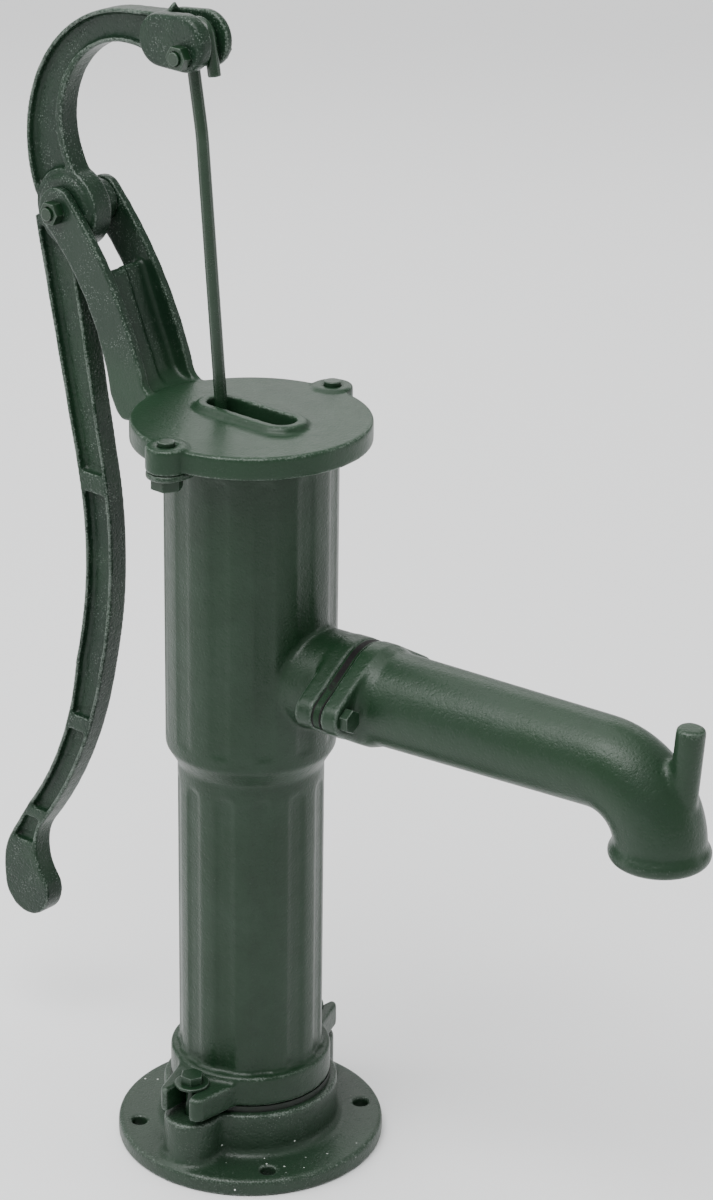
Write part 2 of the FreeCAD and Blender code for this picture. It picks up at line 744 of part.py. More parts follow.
def make_spout_joint():
    gasket = new_body("spout_gasket")
    z = size("spout_height")
    outline_edges = oval(size("flange_lobe_offset"), size("flange_lobe_radius") - 0.8,
                         size("flange_core_radius") - 0.8)
    clear = size("small_bolt_radius") + size("bolt_clearance")
    lobe = size("flange_lobe_offset")
    holes = [circle(0, 0, size("port_bore_radius")), circle(-lobe, 0, clear), circle(lobe, 0, clear)]
    sketch = new_sketch(gasket, "gasket_outline", "YZ_Plane", outline_edges + holes,
                        Placement(Vector(0, z, size("port_face")), Rotation()))
    pad(gasket, "gasket_sheet", sketch, "dims.spout_gasket_thickness")
    keep(gasket, "spout_gasket")
    bolts = []
    length = size("spout_flange_thickness") + size("spout_gasket_thickness") + size("port_flange_thickness") - 1.5
    for side in (-1, 1):
        bolt = hex_bolt("spout_bolt", "small_bolt_radius", "small_head_radius", "small_head_height", length)
        bolt.Placement = Placement(Vector(spout_flange_end, side * size("flange_lobe_offset"), z),
                                   Rotation(Vector(0, 1, 0), 90))
        bolts.append(bolt)
    group("spout_bolts", bolts)


def make_base_bolts():
    bolts = []
    washers = []
    length = (size("washer_thickness") + size("lug_height") + size("leather_thickness")
              + size("base_bolt_engagement"))
    for side in (-1, 1):
        place = Vector(0, side * size("base_bolt_offset"), lug_top)
        ring = washer("base_washer", "dims.washer_radius",
                      "dims.small_bolt_radius + dims.bolt_clearance", "dims.washer_thickness")
        ring.Placement = Placement(place, Rotation())
        washers.append(ring)
        bolt = hex_bolt("base_bolt", "small_bolt_radius", "small_head_radius", "small_head_height", length)
        bolt.Placement = Placement(place + Vector(0, 0, size("washer_thickness")), Rotation())
        bolts.append(bolt)
    group("base_washers", washers)
    group("base_bolts", bolts)


# Fulcrum bracket: two curved ears of one outline, a web between them and a foot on the cover.
def ear_wire():
    end = size("ear_end_radius")
    lean_left = math.radians(214)
    lean_right = math.radians(62)
    left = pivot + Vector(end * math.cos(lean_left), 0, end * math.sin(lean_left))
    right = pivot + Vector(end * math.cos(lean_right), 0, end * math.sin(lean_right))
    tip = pivot + Vector(end * math.cos((lean_left + lean_right) / 2), 0, end * math.sin((lean_left + lean_right) / 2))
    floor = size("body_top")
    lip = size("bracket_lip")
    rise = pivot.z - cover_top
    return outline(
        (right.x, right.z),
        (pivot.x + 35.8, pivot.z - 0.217 * rise, pivot.x + 69.5, cover_top + 10),
        (pivot.x + 72.5, cover_top + 3, pivot.x + 79, cover_top - 1),
        (pivot.x + 79, floor),
        (pivot.x + 72.5, floor),
        (pivot.x + 70, floor - lip + 1),
        (pivot.x + 53, floor - lip),
        (pivot.x + 48, floor - lip + 4),
        (pivot.x + 43, floor + 7.5),
        (pivot.x + 17, pivot.z - 0.41 * rise, left.x, left.z),
        (tip.x, tip.z, right.x, right.z),
    )


def web_wire(setback):
    """Outline of the web; its upper face lies further back by the setback."""
    floor = size("body_top")
    lip = size("bracket_lip")
    rise = pivot.z - cover_top
    return outline(
        (pivot.x + 28, pivot.z - 0.37 * rise),
        (pivot.x + 31 - setback / 2, pivot.z - 0.335 * rise, pivot.x + 38 - setback, pivot.z - 0.36 * rise),
        (pivot.x + 50 - setback, pivot.z - 0.65 * rise, pivot.x + 63 - setback, cover_top + 5),
        (pivot.x + 66 - setback / 2, cover_top + 1, pivot.x + 76, cover_top - 1),
        (pivot.x + 76, floor),
        (pivot.x + 72.5, floor),
        (pivot.x + 69, floor - lip + 1.5),
        (pivot.x + 54, floor - lip + 0.5),
        (pivot.x + 49, floor - lip + 5),
        (pivot.x + 46, floor + 9),
        (pivot.x + 41, pivot.z - 0.71 * rise, pivot.x + 28, pivot.z - 0.37 * rise),
    )


def make_cover():
    body = new_body("cover_plate")
    inside = size("upper_bore_radius") - 1.0
    profile = polygon([
        (0, size("body_top") + size("cover_recess")),
        (inside, size("body_top") + size("cover_recess")),
        (inside, size("body_top")),
        (size("cover_radius"), size("body_top")),
        (size("cover_radius"), cover_top),
        (0, cover_top),
    ])
    sketch = new_sketch(body, "plate_profile", "XZ_Plane", profile)
    plate = revolve(body, "plate", sketch, (sketch, ["V_Axis"]))
    rounded = round_edges(body, "plate_edge", plate, 1.5, level_ring(size("cover_radius"), cover_top))
    body.Tip = rounded
    sketch = new_sketch(body, "ear_place", "XY_Plane",
                        [circle(0, -size("cover_ear_offset"), size("cover_ear_radius"))],
                        lifted(size("body_top")))
    ear = pad(body, "ear_boss", sketch, "dims.cover_thickness + dims.cover_ear_rise")
    ears = around_z(body, "ear_bosses", [ear], 2)
    top = cover_top + size("cover_ear_rise")

    def boss_rim(edge):
        box = edge.BoundBox
        return abs(box.ZMin - top) < 1e-4 and abs(box.ZMax - top) < 1e-4
    rounded = round_edges(body, "boss_edge", ears, 1.4, boss_rim)
    rim = stadium(size("slot_half_length"), size("slot_radius") + size("slot_rim_width"))
    sketch = new_sketch(body, "rim_outline", "XY_Plane", rim, lifted(cover_top - 1))
    raised = pad(body, "slot_rim", sketch, "dims.slot_rim_height + 1")
    rim_top = cover_top + size("slot_rim_height")

    def rim_edge(edge):
        box = edge.BoundBox
        return abs(box.ZMin - rim_top) < 1e-4 and abs(box.ZMax - rim_top) < 1e-4
    raised = round_edges(body, "rim_round", raised, 2.8, rim_edge)
    doc.recompute()
    solid = raised.Shape.Volume
    sketch = new_sketch(body, "slot_outline", "XY_Plane", stadium(size("slot_half_length"), size("slot_radius")),
                        lifted(rim_top))
    slot = pocket(body, "slot", sketch, "dims.cover_thickness + dims.slot_rim_height + 1")
    check_volume(slot, solid, -1)
    tapped = size("large_bolt_radius") + size("thread_clearance")
    sketch = new_sketch(body, "cover_tap_place", "XY_Plane", [circle(0, -size("cover_ear_offset"), tapped)],
                        lifted(top))
    tap = pocket(body, "cover_tap", sketch, "dims.cover_thickness + dims.cover_ear_rise + 1")
    around_z(body, "cover_taps", [tap], 2)

    bracket = doc.addObject("Part::Feature", "fulcrum_bracket")
    ears = []
    for low, high in ((-front_ear_outer, -size("front_ear_inner")), (size("back_ear_inner"), back_ear_outer)):
        ears.append(slab(ear_wire(), low, high))
    ridge = size("web_ridge_offset")
    web = slab(web_wire(0), -size("front_ear_inner") - 1, ridge)
    recess = slab(web_wire(size("web_setback")), ridge, size("back_ear_inner") + 1)
    shape = ears[0].fuse([ears[1], web, recess])
    shape = shape.cut(y_cylinder(pivot, size("small_bolt_radius") + size("pivot_clearance"), -50, 50))
    # The foot stands on the plate, so nothing of it reaches into the barrel below.
    below = Part.makeCylinder(inside, size("cover_recess"), Vector(0, 0, size("body_top")))
    bracket.Shape = shape.cut(below).removeSplitter()

    whole = doc.addObject("Part::Fuse", "top_cover")
    whole.Base = body
    whole.Tool = bracket
    whole.Refine = True
    keep(whole, "top_cover", turned)


def make_cover_bolts():
    bolts = []
    head_seat = size("body_top") - size("body_ear_thickness")
    length = size("body_ear_thickness") + size("cover_thickness") + size("cover_ear_rise") + size("cover_bolt_showing")
    for side in (-1, 1):
        bolt = hex_bolt("cover_bolt", "large_bolt_radius", "large_head_radius", "large_head_height", length)
        bolt.Placement = Placement(Vector(0, side * size("cover_ear_offset"), head_seat),
                                   Rotation(Vector(1, 0, 0), 180))
        bolts.append(bolt)
    group("cover_bolts", bolts, turned)


# Handle: an I-section lever and a crook in one casting, with a hub at the fulcrum and a fork
# at the rod. Its outline is set out from the fulcrum.
def lever_wire():
    x, z = pivot.x, pivot.z
    return outline(
        (x - 27.6, z - 8),
        (x + 2.8, z - 152.8),
        (x + 10.6, z - 218.5, x + 0.5, z - 294),
        (x - 15, z - 356, x - 46, z - 410.5),
        (x - 63.3, z - 437.5),
        (x - 70.2, z - 455, x - 70.3, z - 473.5),
        (x - 50.3, z - 493.5, x - 31.5, z - 466.5),
        (x - 40.8, z - 446.5, x - 31.8, z - 419.6),
        (x + 4.5, z - 358, x + 24.2, z - 294),
        (x + 33.5, z - 215.5, x + 25.6, z - 145),
        (x + 4, z - 24),
    )


def crook_wire():
    x, z = pivot.x, pivot.z
    return outline(
        (x - 26.5, z + 5),
        (x - 17.1, z + 90.7, x + 50, z + 130),
        (x + 88, z + 133),
        (x + 88, z + 108),
        (x + 66.5, z + 107.9),
        (x + 0.5, z + 73, x + 7.3, z + 23.9),
        (x, z),
    )


def fork_wire():
    centre = fork_bolt_centre
    tip = Vector(centre.x - 2.4, 0, centre.z + 6.6)
    root = Vector(centre.x - 20.9, 0, centre.z + 5.9)
    tip_radius, root_radius = 16.8, 15.6
    reach = tip.x - root.x
    lean = math.acos((root_radius - tip_radius) / reach)
    c, s = math.cos(lean), math.sin(lean)
    return outline(
        (root.x + root_radius * c, root.z + root_radius * s),
        (tip.x + tip_radius * c, tip.z + tip_radius * s),
        (tip.x + tip_radius, tip.z, tip.x + tip_radius * c, tip.z - tip_radius * s),
        (root.x + root_radius * c, root.z - root_radius * s),
        (root.x - root_radius, root.z, root.x + root_radius * c, root.z + root_radius * s),
    )


def make_handle():
    x, z = pivot.x, pivot.z
    body = slab(lever_wire(), -half_handle, half_handle)
    body = body.fuse([slab(crook_wire(), -half_handle, half_handle),
                      y_cylinder(pivot, size("hub_radius"), -half_handle, half_handle)])

    # Recesses on both faces leave a rim flange all round and three cross ribs on the lever.
    rim = size("handle_flange")
    depth = size("handle_recess")
    cross_ribs = ((165, 178), (334, 345), (413, 421))
    for side in (-1, 1):
        face_y = side * half_handle
        pool = None
        for wire in (lever_wire(), crook_wire()):
            inner = Part.Face(wire).makeOffset2D(-rim)
            inner.translate(Vector(0, face_y - (depth if side > 0 else 0), 0))
            block = inner.extrude(Vector(0, depth, 0))
            pool = block if pool is None else pool.fuse(block)
        keepers = [y_cylinder(pivot, size("hub_radius"), -20, 20)]
        keepers.append(y_cylinder(Vector(x + 48.7, 0, z + 54.5), 56.5, -20, 20))
        keepers.append(Part.makeBox(60, 40, 60, Vector(x + 70, -20, z + 90)))
        keepers.append(Part.makeBox(80, 40, 60, Vector(x - 80, -20, z - 500)))
        for top, bottom in cross_ribs:
            keepers.append(Part.makeBox(120, 40, bottom - top, Vector(x - 80, -20, z - bottom)))
        for keeper in keepers:
            pool = pool.cut(keeper)
        body = body.cut(pool)

    hub = y_cylinder(pivot, size("hub_boss_radius"), -half_handle - size("hub_front_boss"), 0)
    sleeve = y_cylinder(pivot, size("hub_sleeve_radius"), 0, size("back_ear_inner") - 0.3)
    front, back = size("fork_front"), size("fork_back")
    cheeks = slab(fork_wire(), -front, back)
    cheek_rims = edges_on_plane(cheeks, -front) + edges_on_plane(cheeks, back)
    cheeks = cheeks.makeFillet(size("fork_edge_round"), cheek_rims)
    nib_height = size("nib_height")
    nib_foot = fork_bolt_centre + Vector(-20.9, 0, 26.3 - nib_height)
    nib = Part.makeCone(size("nib_radius"), 0.8, nib_height, nib_foot)
    body = body.fuse([hub, sleeve, cheeks, nib])
    gap = size("fork_gap")
    gap_end = fork_bolt_centre.x - 20.1
    body = body.cut(Part.makeBox(60, gap, 80, Vector(gap_end, -gap / 2, fork_bolt_centre.z - 40)))
    radius = size("small_bolt_radius") + size("pivot_clearance")
    body = body.cut(y_cylinder(pivot, radius, -60, 60))
    body = body.cut(y_cylinder(fork_bolt_centre, radius, -60, 60))
    handle = doc.addObject("Part::Feature", "pump_handle")
    handle.Shape = body.removeSplitter()
    keep(handle, "pump_handle", turned)


def make_cross_bolt(bolt_name, nut_name, centre, front_seat, back_seat):
    """Bolt across the handle with its nut on the front and its head at the back."""
    length = front_seat + back_seat + size("small_nut_height") + size("cross_bolt_showing")
    bolt = hex_bolt(bolt_name, "small_bolt_radius", "small_head_radius", "small_head_height", length)
    head_at = turned.multiply(Placement(Vector(centre.x, back_seat, centre.z), Rotation(Vector(1, 0, 0), -90)))
    keep(bolt, bolt_name, head_at)
    nut = hex_nut(nut_name, "small_bolt_radius", "small_head_radius", "dims.small_nut_height")
    nut_at = turned.multiply(Placement(Vector(centre.x, -front_seat, centre.z), Rotation(Vector(1, 0, 0), 90)))
    keep(nut, nut_name, nut_at)


# Piston rod: straight bar whose top is bent over the fork bolt as an open hook.
def make_rod():
    r = size("hook_radius")
    slack = size("hook_slack")
    foot = Vector(-size("rod_foot_offset"), 0, size("rod_foot_height"))
    knee = Vector(-size("rod_knee_offset"), 0, size("rod_knee_height"))
    towards = knee - fork_bolt_centre
    touch = math.atan2(towards.z, towards.x) - math.acos(r / towards.Length)
    beside = Vector(r * math.cos(touch), 0, r * math.sin(touch))
    along = (fork_bolt_centre + beside - knee).normalize()
    # The straight shank and the hook's leg meet in a wide bend at the knee.
    shank = (knee - foot).normalize()
    half_turn = shank.getAngle(along) / 2
    bend = size("rod_knee_radius")
    bend_start = knee - shank * (bend * math.tan(half_turn))
    bend_end = knee + along * (bend * math.tan(half_turn))
    bend_middle = knee + (along - shank).normalize() * (bend / math.cos(half_turn) - bend)
    # The hook is drawn out along the rod, so that both of its legs pass the bolt at one distance.
    centre = fork_bolt_centre + along * slack
    path = Part.Wire([
        Part.LineSegment(foot, bend_start).toShape(),
        Part.Arc(bend_start, bend_middle, bend_end).toShape(),
        Part.LineSegment(bend_end, centre + beside).toShape(),
        Part.Arc(centre + beside, centre + along * r, centre - beside).toShape(),
        Part.LineSegment(centre - beside, centre - beside - along * (slack + size("hook_tail"))).toShape(),
    ])
    section = Part.Wire(Part.makeCircle(size("rod_radius"), foot, shank))
    rod = doc.addObject("Part::Feature", "piston_rod")
    rod.Shape = path.makePipeShell([section], True, False)
    keep(rod, "piston_rod", turned)

    # Two washers and two nuts hold the rod in the yoke's slot with room to swing.
    nuts = []
    washers = []
    bridge_top = size("yoke_top")
    bridge_bottom = bridge_top - size("yoke_bridge")
    above = size("yoke_play_above")
    below = size("yoke_play_below")
    plate = size("washer_thickness")
    height = size("rod_nut_height")
    for washer_z, nut_z in ((bridge_top + above, bridge_top + above + plate),
                            (bridge_bottom - below - plate, bridge_bottom - below - plate - height)):
        for z, shelf, item in ((washer_z, washers, "plate"), (nut_z, nuts, "nut")):
            share = (z - foot.z) / shank.z
            spot = foot + shank * share
            if item == "plate":
                piece = washer("rod_washer", "dims.washer_radius - 1.5",
                               "dims.rod_radius + dims.thread_clearance", "dims.washer_thickness")
            else:
                piece = hex_nut("rod_nut", "rod_radius", "small_head_radius", "dims.rod_nut_height")
            piece.Placement = Placement(spot, Rotation(Vector(0, 0, 1), shank))
            shelf.append(piece)
    group("rod_washers", washers, turned)
    group("rod_nuts", nuts, turned)


# Plunger: slotted yoke, leather cup, follower with the water port, and the lifting valve.
def make_plunger():
    top = size("yoke_top")
    bridge_bottom = top - size("yoke_bridge")
    radius = size("plunger_radius")
    disc_radius = radius - 3
    ring = Part.makeCylinder(disc_radius, plunger_ring_top - plunger_ring_bottom, Vector(0, 0, plunger_ring_bottom))
    spigot = size("follower_spigot_radius") + size("thread_clearance")
    arch = Part.makeBox(28, 2 * (radius - 7), top - plunger_ring_top, Vector(-14, -(radius - 7), plunger_ring_top))
    window = Part.makeBox(40, 2 * (radius - 14), bridge_bottom - plunger_ring_top,
                          Vector(-20, -(radius - 14), plunger_ring_top))
    half = size("yoke_slot_half_length")
    narrow = size("rod_radius") + 0.8
    slot = Part.makeBox(2 * half, 2 * narrow, 20, Vector(-half, -narrow, bridge_bottom - 1))
    centre_hole = Part.makeCylinder(spigot, 20, Vector(0, 0, plunger_ring_bottom))
    shape = ring.fuse(arch.cut(window)).cut(centre_hole).cut(slot)
    cage = doc.addObject("Part::Feature", "plunger_yoke")
    cage.Shape = shape.removeSplitter()
    keep(cage, "plunger_yoke", turned)

    cup_radius = size("bore_radius") - size("cup_clearance")
    thickness = size("cup_thickness")
    lip_top = cup_bottom + size("cup_lip_height")
    profile = polygon([
        (spigot, cup_bottom),
        (cup_radius - 2, cup_bottom),
        (cup_radius, cup_bottom + 4),
        (cup_radius, lip_top),
        (cup_radius - 2.4, lip_top),
        (cup_radius - thickness, cup_bottom + thickness + 2.4),
        (cup_radius - thickness - 1.4, cup_bottom + thickness),
        (spigot, cup_bottom + thickness),
    ])
    cup = new_body("cup_leather")
    sketch = new_sketch(cup, "cup_profile", "XZ_Plane", profile)
    revolve(cup, "cup", sketch, (sketch, ["V_Axis"]))
    keep(cup, "cup_leather", turned)

    follower = new_body("plunger_follower")
    bottom = cup_bottom - size("follower_thickness")
    seat = plunger_ring_top - 3
    port = size("plunger_port_radius")
    profile = polygon([
        (port, bottom),
        (radius - 2, bottom),
        (radius - 2, cup_bottom),
        (size("follower_spigot_radius"), cup_bottom),
        (size("follower_spigot_radius"), seat),
        (port, seat),
    ])
    sketch = new_sketch(follower, "follower_profile", "XZ_Plane", profile)
    revolve(follower, "follower", sketch, (sketch, ["V_Axis"]))
    keep(follower, "plunger_follower", turned)

    valve = new_body("plunger_valve")
    stem = port - 0.8
    profile = polygon([
        (0, seat - 12),
        (stem - 4, seat - 12),
        (stem, seat - 10),
        (stem, seat),
        (size("valve_radius"), seat),
        (size("valve_radius"), seat + size("valve_thickness")),
        (6, seat + size("valve_thickness")),
        (5, seat + size("valve_thickness") + 4),
        (0, seat + size("valve_thickness") + 4),
    ])
    sketch = new_sketch(valve, "valve_profile", "XZ_Plane", profile)
    revolve(valve, "valve", sketch, (sketch, ["V_Axis"]))
    # Three water ways are cut up the stem, so that it guides the valve and still lets water by.
    way_outline = polygon([(1.5, -1.5), (stem + 1, -1.5), (stem + 1, 1.5), (1.5, 1.5)])
    sketch = new_sketch(valve, "way_outline", "XY_Plane", way_outline, lifted(seat))
    way = pocket(valve, "way", sketch, "13 mm")
    around_z(valve, "ways", [way], 3)
    keep(valve, "plunger_valve", turned)


make_base()
make_foot_valve()
make_cylinder()
make_base_bolts()
make_spout()
make_spout_joint()
make_cover()
make_cover_bolts()
make_handle()
make_cross_bolt("pivot_bolt", "pivot_nut", pivot, front_ear_outer, back_ear_outer)
make_cross_bolt("rod_bolt", "rod_bolt_nut", fork_bolt_centre, size("fork_front"), size("fork_back"))
make_rod()
make_plunger()
doc.recompute()

for obj in doc.Objects:
    if "Invalid" in obj.State or "Error" in obj.State:
        raise ValueError(f"{obj.Label} failed to build: {obj.State}")
for node in nodes:
    shape = node.Shape
    if shape.isNull() or not shape.isValid():
        raise ValueError(f"{node.Label} has no valid shape")
    box = shape.BoundBox
    print(f"{node.Label:20s} solids {len(shape.Solids)}  volume {shape.Volume:10.0f}  "
          f"x {box.XMin:7.1f} {box.XMax:7.1f}  y {box.YMin:7.1f} {box.YMax:7.1f}  z {box.ZMin:6.1f} {box.ZMax:6.1f}")
for node in nodes:
    node.Shape.exportStep(f"parts/{node.Label}.step")
print(len(nodes), "nodes written")
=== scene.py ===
import math

import bpy
from mathutils import Matrix, Vector

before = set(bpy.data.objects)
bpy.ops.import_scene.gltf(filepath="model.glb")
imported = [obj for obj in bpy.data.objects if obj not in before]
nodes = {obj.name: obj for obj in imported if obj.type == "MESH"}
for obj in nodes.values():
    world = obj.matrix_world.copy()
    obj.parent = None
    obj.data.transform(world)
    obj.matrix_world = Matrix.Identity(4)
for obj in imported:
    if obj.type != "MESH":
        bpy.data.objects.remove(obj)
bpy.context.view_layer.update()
print("frame loaded,", len(nodes), "nodes")


# Shader maths as plain expressions: a Value wraps a socket, and each operator adds a Math node.
class Value:
    def __init__(self, shader, socket):
        self.shader = shader
        self.socket = socket

    def calc(self, operation, *others):
        return self.shader.add("ShaderNodeMath", {"operation": operation},
                               dict(enumerate((self, *others))))

    def __add__(self, other):
        return self.calc("ADD", other)

    def __sub__(self, other):
        return self.calc("SUBTRACT", other)

    def __mul__(self, other):
        return self.calc("MULTIPLY", other)

    def __rsub__(self, other):
        return self.shader.add("ShaderNodeMath", {"operation": "SUBTRACT"}, {0: other, 1: self})

    __radd__ = __add__
    __rmul__ = __mul__

    def over(self, low, high):
        # 0 below low, 1 above high, smooth between them
        return self.shader.add("ShaderNodeMapRange", {"interpolation_type": "SMOOTHSTEP"},
                               {"Value": self, "From Min": low, "From Max": high}, "Result")


class Shader:
    def __init__(self, name):
        self.material = bpy.data.materials.new(name)
        self.material.use_nodes = True
        self.tree = self.material.node_tree
        self.tree.nodes.clear()
        self.place = self.add("ShaderNodeTexCoord", {}, {}, "Object")

    def add(self, kind, settings, inputs, output=0):
        node = self.tree.nodes.new(kind)
        for key, setting in settings.items():
            setattr(node, key, setting)
        for key, value in inputs.items():
            if isinstance(value, Value):
                self.tree.links.new(value.socket, node.inputs[key])
            else:
                node.inputs[key].default_value = value
        return Value(self, node.outputs[output])

    def noise(self, size, detail=3, roughness=0.55):
        # size is the width of one blotch in metres
        return self.add("ShaderNodeTexNoise", {},
                        {"Vector": self.place, "Scale": 1 / size, "Detail": detail,
                         "Roughness": roughness}, "Fac")

    def cells(self, size):
        # distance to the nearest of points that lie about size metres apart
        return self.add("ShaderNodeTexVoronoi", {}, {"Vector": self.place, "Scale": 1 / size},
                        "Distance")

    def blend(self, amount, low, high):
        # colour between low and high
        return self.add("ShaderNodeMix", {"data_type": "RGBA"}, {0: amount, 6: low, 7: high}, 2)

    def along(self, axis):
        return self.add("ShaderNodeSeparateXYZ", {}, {0: self.place}, axis)

    def edges(self):
        # above 0 on outer corners and below 0 in inner ones
        return self.add("ShaderNodeNewGeometry", {}, {}, "Pointiness") - 0.5

    def bump(self, height, distance, strength, below=None):
        inputs = {"Height": height, "Distance": distance, "Strength": strength}
        if below is not None:
            inputs["Normal"] = below
        return self.add("ShaderNodeBump", {}, inputs)

    def finish(self, varying, fixed):
        principled = self.add("ShaderNodeBsdfPrincipled", {}, {**varying, **fixed})
        out = self.tree.nodes.new("ShaderNodeOutputMaterial")
        self.tree.links.new(principled.socket, out.inputs["Surface"])
        return self.material


def rgba(colour, gain=1.0):
    return (*(channel * gain for channel in colour), 1)


# Green paint over a rough casting: blotchy depth of colour, orange-peel gloss, sand grain, pits,
# painted shade in inner corners, bare bright metal on sharp corners that is partly wear and partly
# a painted highlight, and on some castings painted glints or pale specks. Sizes are in metres. A
# pair is where a mask starts and where it is full, but gloss is a range.
castPaint = {
    "colour": (0.0056, 0.0225, 0.0085),
    "hollowShadeColour": (0.0012, 0.0055, 0.0020),
    "dusty": (0.0110, 0.0300, 0.0150),
    "bareAndHighlight": (0.22, 0.26, 0.23),
    "speck": (0.62, 0.66, 0.62),
    "blotch": 0.05,
    "blotchFrom": (0.35, 0.7),
    "patch": 0.014,
    "patchFrom": (0.45, 0.75),
    "patchTint": 0.5,
    "patchGain": 0.8,
    "grain": 0.0011,
    "grainHeight": 0.00022,
    "grainStrength": 0.8,
    "grainGloss": 0.08,
    "pitWidth": 2.4,
    "pitFrom": (0.0, 0.5),
    "pitDepth": 0.6,
    "wave": 0.009,
    "waveHeight": 0.0006,
    "waveStrength": 0.7,
    "gloss": (0.26, 0.40),
    "wearAndHighlight": 0.3,
    "wornHighlitEdge": 14,
    "wornHighlitPatch": 0.7,
    "wornHighlitGrain": 1.2,
    "wornHighlitFrom": (0.3, 0.62),
    "wornHighlitTint": 0.75,
    "hollowShadeEdge": 8,
    "hollowShadeFrom": (0.1, 0.5),
    "hollowShadeTint": 0.7,
    "specks": 0.0,
    "speckSpacing": 0.0075,
    "speckReach": 0.1,
    "speckSoft": 0.03,
    "speckPatch": 0.03,
    "speckPatchFrom": (0.5, 0.62),
    "shine": 0.29,
    "coat": 0.05,
    "coatGloss": 0.15,
    "paintedGlint": 0.0,
    "paintedGlintSpacing": 1.25,
    "paintedGlintReach": 0.36,
    "paintedGlintSoft": 0.2,
    "paintedGlintEdge": 6,
    "paintedGlintFrom": (0.42, 0.66),
    "paintedGlintGain": 1.6,
}
spoutPaint = {**castPaint, "colour": (0.0085, 0.0300, 0.0120), "shine": 0.30, "waveHeight": 0.0005}
basePaint = {**castPaint, "colour": (0.0100, 0.0260, 0.0130), "specks": 1.0, "wearAndHighlight": 0.5,
             "grainHeight": 0.0003, "gloss": (0.30, 0.45), "shine": 0.36, "paintedGlint": 0.12}
leverPaint = {**castPaint, "colour": (0.0068, 0.0190, 0.0105), "grain": 0.0012, "wearAndHighlight": 0.4,
              "grainHeight": 0.00040, "gloss": (0.22, 0.36), "shine": 0.20, "paintedGlint": 0.26}
# The cover's bracket, above a set height, is painted darker than its flat top as painted shade,
# and the cover's lighter colour on that top is painted light. The top has hardly any painted glints.
coverPaint = {**castPaint, "colour": (0.0105, 0.0330, 0.0150), "grainHeight": 0.00016,
              "waveHeight": 0.0004, "shine": 0.24, "wearAndHighlight": 0.45, "paintedGlint": 0.3,
              "bracketShadeFrom": (0.486, 0.515), "bracketShadeTint": (0.0062, 0.0185, 0.0098),
              "bracketShadeAmount": 0.8}
rodPaint = {**castPaint, "grain": 0.0009, "grainHeight": 0.00006, "waveHeight": 0.0002,
            "wearAndHighlight": 0.15, "gloss": (0.16, 0.28), "shine": 0.45}
boltPaint = {**castPaint, "grain": 0.0008, "grainHeight": 0.0001, "waveHeight": 0.0002,
             "gloss": (0.2, 0.32)}


def paintedCasting(name, look):
    s = Shader(name)
    blotch = s.noise(look["blotch"], 5, 0.6)
    patch = s.noise(look["patch"], 6, 0.65)
    grain = s.noise(look["grain"], 3, 0.6)
    pits = s.cells(look["grain"] * look["pitWidth"])
    edges = s.edges()
    # bare light colour on outer edges: partly real wear, partly a painted highlight
    wornAndHighlit = edges * look["wornHighlitEdge"] + (patch - 0.5) * look["wornHighlitPatch"]
    wornAndHighlit = (wornAndHighlit + (grain - 0.5) * look["wornHighlitGrain"]).over(*look["wornHighlitFrom"]) * look["wearAndHighlight"]
    # painted shade: inner corners darkened towards a shade colour
    hollowShade = (0.0 - edges * look["hollowShadeEdge"]).over(*look["hollowShadeFrom"])
    colour = s.blend(blotch.over(*look["blotchFrom"]), rgba(look["colour"]), rgba(look["dusty"]))
    colour = s.blend(patch.over(*look["patchFrom"]) * look["patchTint"], colour,
                     rgba(look["colour"], look["patchGain"]))
    colour = s.blend(hollowShade * look["hollowShadeTint"], colour, rgba(look["hollowShadeColour"]))
    colour = s.blend(wornAndHighlit * look["wornHighlitTint"], colour, rgba(look["bareAndHighlight"]))
    above = 1.0
    # painted shade: above a set height the colour is darkened against the lighter top
    if "bracketShadeFrom" in look:
        above = s.along("Z").over(*look["bracketShadeFrom"])
        colour = s.blend(above * (1.0 - wornAndHighlit) * look["bracketShadeAmount"], colour, rgba(look["bracketShadeTint"]))
    # painted glints: bright dots of highlight colour, most on edges and blotches
    if look["paintedGlint"]:
        glintCells = s.cells(look["grain"] * look["paintedGlintSpacing"])
        glint = (look["paintedGlintReach"] - glintCells).over(0.0, look["paintedGlintSoft"])
        glint = glint * (patch + edges * look["paintedGlintEdge"]).over(*look["paintedGlintFrom"])
        glint = glint * (above * 0.9 + 0.1)
        colour = s.blend(glint * look["paintedGlint"], colour,
                         rgba(look["bareAndHighlight"], look["paintedGlintGain"]))
    if look["specks"]:
        spots = look["speckReach"] - s.cells(look["speckSpacing"])
        spots = spots.over(0.0, look["speckSoft"])
        spots = spots * s.noise(look["speckPatch"], 2).over(*look["speckPatchFrom"])
        colour = s.blend(spots * look["specks"], colour, rgba(look["speck"]))
    low, high = look["gloss"]
    roughness = patch * (high - low) + low + grain * look["grainGloss"]
    wave = s.bump(s.noise(look["wave"], 3, 0.5), look["waveHeight"], look["waveStrength"])
    sand = grain + pits.over(*look["pitFrom"]) * look["pitDepth"]
    rough = s.bump(sand, look["grainHeight"], look["grainStrength"], wave)
    return s.finish({"Base Color": colour, "Roughness": roughness, "Normal": rough},
                    {"Metallic": 0.0, "IOR": 1.5, "Specular IOR Level": look["shine"],
                     "Coat Weight": look["coat"], "Coat Roughness": look["coatGloss"]})


